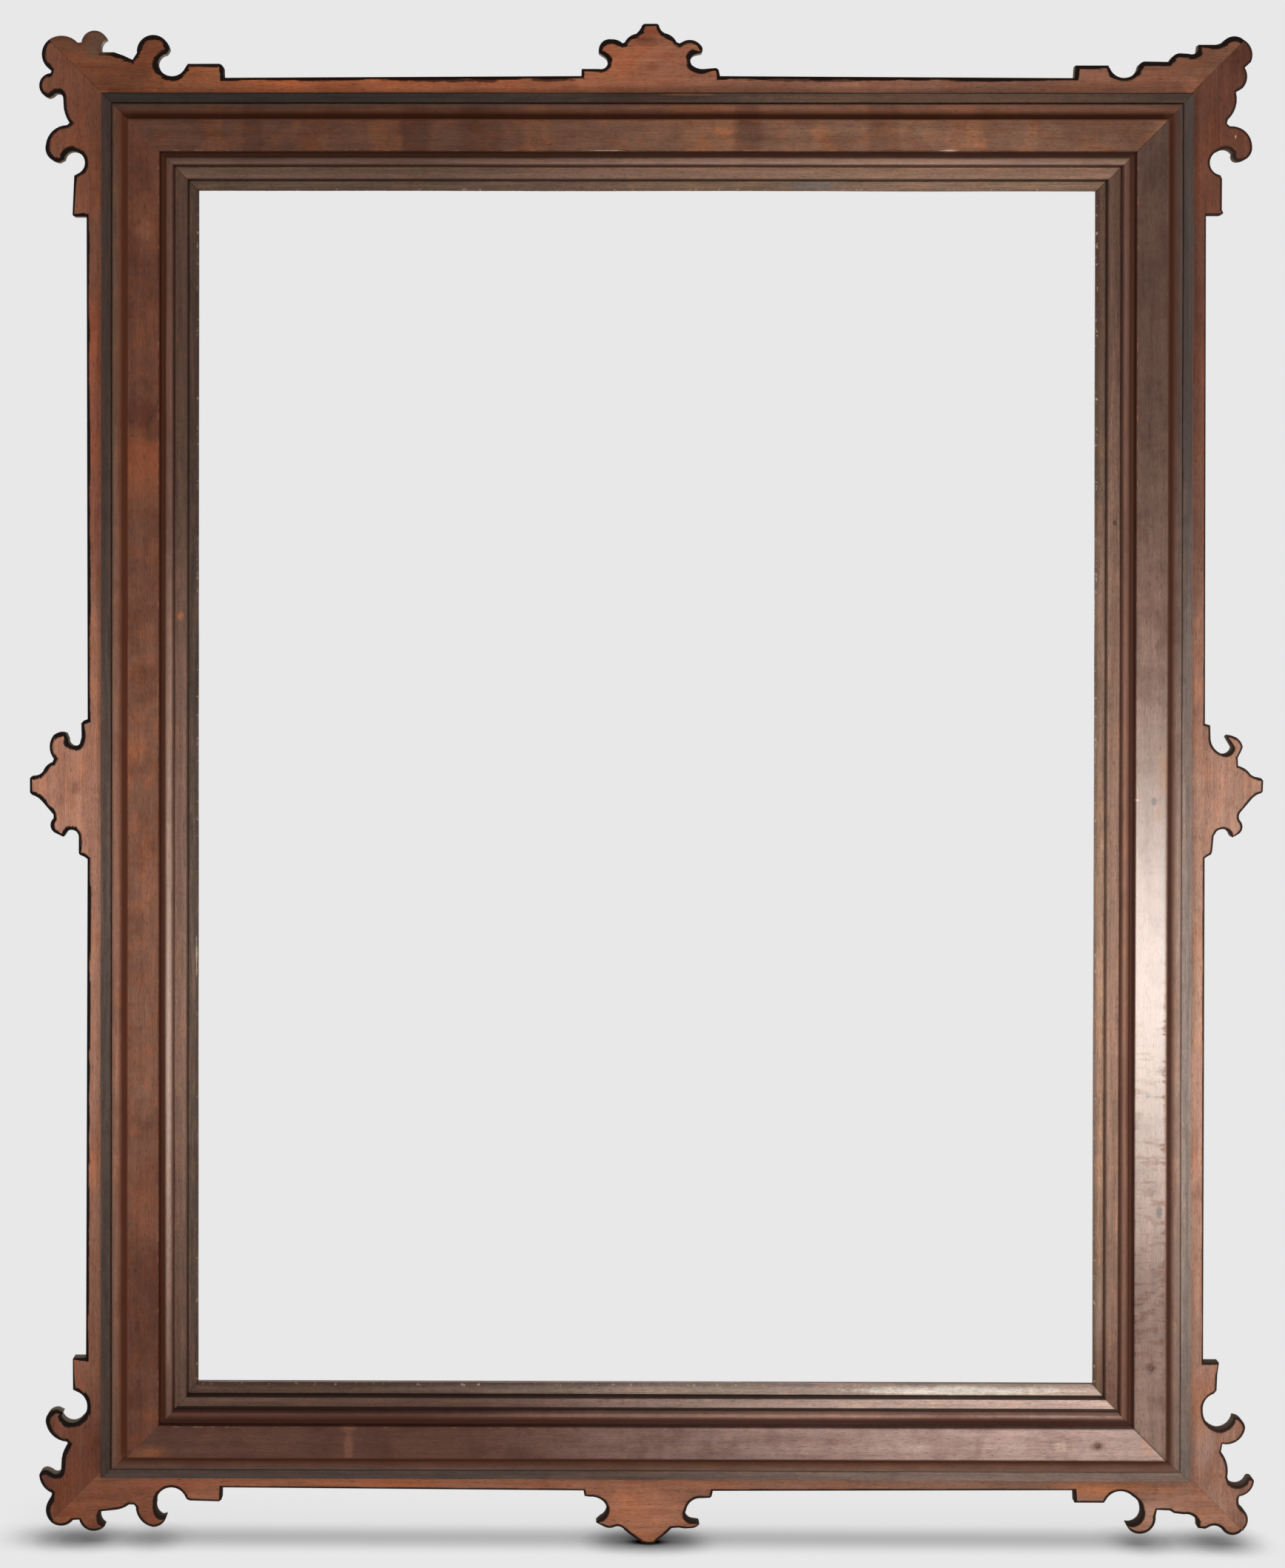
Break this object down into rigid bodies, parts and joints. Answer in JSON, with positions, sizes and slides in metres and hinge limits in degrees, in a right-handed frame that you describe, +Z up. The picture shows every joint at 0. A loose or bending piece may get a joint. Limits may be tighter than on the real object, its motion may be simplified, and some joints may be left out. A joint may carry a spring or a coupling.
{
  "type": "picture frame",
  "caption": "Rectangular picture frame with fret-sawn scrolled boards behind a built-up, stepped moulding, and swinging hanging rings on its back.",
  "frame": {"origin": "middle of the opening on the plane of the frame's back, which is the plane of the wall it hangs on", "axes": "+Z up along the long sides, +Y towards the wall, so the face looks along -Y, +X to the right of a person who looks at the face"},
  "size_m": [0.8514, 0.0469, 1.0506],
  "materials": {
    "fret_walnut": "red-brown walnut, old shellac, satin",
    "moulding_walnut": "dark walnut, old shellac, half gloss",
    "panel_walnut": "walnut veneer tone, half gloss",
    "ebonised_wood": "black stained, satin, rubbed",
    "core_wood": "bare softwood",
    "hanger_brass": "dull old brass",
    "screw_steel": "dark old steel",
    "filled_pins": "dark filler over punched pins"
  },
  "bodies": {
    "frame": {"fret_board_top": "fret_walnut", "fret_board_right": "fret_walnut", "fret_board_bottom": "fret_walnut", "fret_board_left": "fret_walnut", "core_rail_top": "core_wood", "core_rail_right": "core_wood", "core_rail_bottom": "core_wood", "core_rail_left": "core_wood", "ebonised_strip_top": "ebonised_wood", "ebonised_strip_right": "ebonised_wood", "ebonised_strip_bottom": "ebonised_wood", "ebonised_strip_left": "ebonised_wood", "ogee_top": "moulding_walnut", "ogee_right": "moulding_walnut", "ogee_bottom": "moulding_walnut", "ogee_left": "moulding_walnut", "panel_top": "panel_walnut", "panel_right": "panel_walnut", "panel_bottom": "panel_walnut", "panel_left": "panel_walnut", "roll_top": "moulding_walnut", "roll_right": "moulding_walnut", "roll_bottom": "moulding_walnut", "roll_left": "moulding_walnut", "sight_liner_top": "moulding_walnut", "sight_liner_right": "moulding_walnut", "sight_liner_bottom": "moulding_walnut", "sight_liner_left": "moulding_walnut", "hanger_plate_left": "hanger_brass", "hanger_plate_right": "hanger_brass", "hanger_screws": "hanger_brass", "fret_screws": "screw_steel", "corner_nails": "screw_steel", "panel_pins": "filled_pins"},
    "ring_left": {"hanger_ring_left": "hanger_brass"},
    "ring_right": {"hanger_ring_right": "hanger_brass"}
  },
  "joints": [
    {"name": "ring_swing_left", "type": "hinge", "parent": "frame", "child": "ring_left", "pos_m": [-0.339, 0.0026, 0.24], "axis": [1, 0, 0], "range_deg": [-4, 165]},
    {"name": "ring_swing_right", "type": "hinge", "parent": "frame", "child": "ring_right", "pos_m": [0.339, 0.0026, 0.24], "axis": [1, 0, 0], "range_deg": [-4, 165]}
  ]
}
